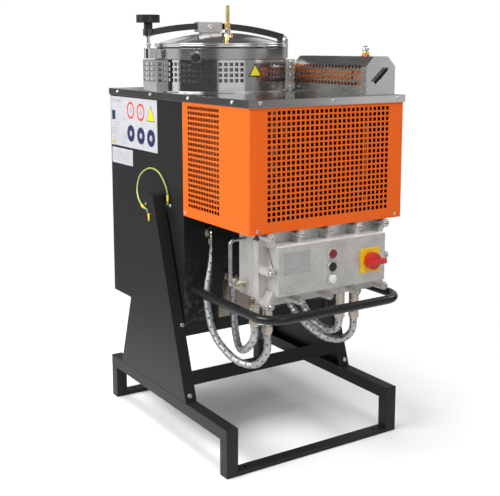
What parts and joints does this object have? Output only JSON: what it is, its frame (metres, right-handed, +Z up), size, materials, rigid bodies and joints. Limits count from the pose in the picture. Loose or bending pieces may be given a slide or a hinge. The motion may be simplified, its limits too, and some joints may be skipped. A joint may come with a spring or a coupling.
{
  "type": "tilting solvent recycler",
  "caption": "Tilting distillation unit: floor frame with side panels, pivoting cabinet, clamped boiler lid, perforated condenser housing, cast control box, tilt handle and flexible conduits.",
  "frame": {"origin": "on the floor, at the centre of the rectangle of anchor holes in the two floor bars", "axes": "+X to the machine's right seen from the control box, +Y to the rear, +Z up"},
  "size_m": [0.583, 0.866, 1.228],
  "materials": {
    "charcoal_paint": "satin powder coat",
    "handle_paint": "semi-gloss black",
    "orange_paint": "satin powder coat",
    "stainless": "brushed and polished",
    "cover_steel": "brushed",
    "zinc_steel": "zinc plated",
    "cast_aluminium": "satin cast",
    "copper": "bare",
    "brass": "polished",
    "fitting_metal": "plated",
    "conduit_metal": "braided",
    "motor_paint": "satin",
    "insulation_wool": "matte",
    "black_plastic": "moulded",
    "seal_rubber": "matte",
    "yellow_plastic": "gloss",
    "red_plastic": "gloss",
    "lamp_plastic": "gloss",
    "gear_plastic": "moulded",
    "wire_plastic": "gloss",
    "label_film": "gloss"
  },
  "bodies": {
    "floor_frame": {"rails": "charcoal_paint", "legs": "charcoal_paint", "rail_plugs": "black_plastic", "floor_bars": "charcoal_paint", "left_panel": "charcoal_paint", "right_panel": "charcoal_paint", "crossbar": "charcoal_paint", "flange_bolts": "zinc_steel", "bearing_housings": "charcoal_paint", "bushes": "brass", "bonding_wire": "wire_plastic"},
    "tilting_body": {"trunnions": "zinc_steel", "cabinet_shell": "charcoal_paint", "floor_plates": "charcoal_paint", "front_post": "charcoal_paint", "top_plate": "stainless", "condenser_housing": "orange_paint", "sheet_screws": "zinc_steel", "boiler_pot": "stainless", "oil_jacket": "stainless", "heating_elements": "motor_paint", "insulation": "insulation_wool", "collar": "stainless", "port_plug": "black_plastic", "gasket": "seal_rubber", "guard_ring": "stainless", "bolt_lug": "stainless", "lid_hinge_bracket": "stainless", "vapour_pipe": "orange_paint", "pipe_cover": "cover_steel", "pipe_cover_cap": "cover_steel", "relief_fitting": "zinc_steel", "condenser_coil": "copper", "fan_shroud": "charcoal_paint", "fan_motor": "motor_paint", "distillate_outlet": "stainless", "control_box": "cast_aluminium", "control_cover": "cast_aluminium", "control_gear": "gear_plastic", "rating_plates": "stainless", "switch_plate": "yellow_plastic", "button_collars": "black_plastic", "pilot_lamp": "lamp_plastic", "conduit_fittings": "fitting_metal", "conduit_left_outer": "conduit_metal", "conduit_left_inner": "conduit_metal", "conduit_right_outer": "conduit_metal", "conduit_right_inner": "conduit_metal", "sensor_line": "conduit_metal", "handle": "handle_paint", "labels": "label_film"},
    "lid": {"lid": "stainless", "lid_arm": "stainless", "vent_nozzle": "brass"},
    "clamp": {"clamp_screw": "zinc_steel", "star_knob": "black_plastic"},
    "main_switch": {"switch_knob": "red_plastic"},
    "red_button": {"red_button": "red_plastic"},
    "black_button": {"black_button": "black_plastic"},
    "fan": {"fan": "black_plastic"}
  },
  "joints": [
    {"name": "tilt", "type": "hinge", "parent": "floor_frame", "child": "tilting_body", "pos_m": [0, 0.07, 0.65], "axis": [-1, 0, 0], "range_deg": [0, 90]},
    {"name": "lid_hinge", "type": "hinge", "parent": "tilting_body", "child": "lid", "pos_m": [0.184, 0.08333, 1.129], "axis": [0.1392, 0.9903, 0], "range_deg": [0, 100]},
    {"name": "knob_turn", "type": "hinge", "parent": "lid", "child": "clamp", "pos_m": [-0.2438, 0.14345, 1.16], "axis": [0, 0, 1], "continuous": true},
    {"name": "main_switch_turn", "type": "hinge", "parent": "tilting_body", "child": "main_switch", "pos_m": [0.121, -0.43, 0.544], "axis": [0, -1, 0], "range_deg": [0, 90]},
    {"name": "red_button_press", "type": "slide", "parent": "tilting_body", "child": "red_button", "axis": [0, 1, 0], "range_m": [0, 0.0035], "stiffness_N_per_m": 400, "springref_m": -0.002},
    {"name": "black_button_press", "type": "slide", "parent": "tilting_body", "child": "black_button", "axis": [0, 1, 0], "range_m": [0, 0.0035], "stiffness_N_per_m": 400, "springref_m": -0.002},
    {"name": "fan_spin", "type": "hinge", "parent": "tilting_body", "child": "fan", "pos_m": [0, -0.216, 0.8], "axis": [0, 1, 0], "continuous": true}
  ]
}
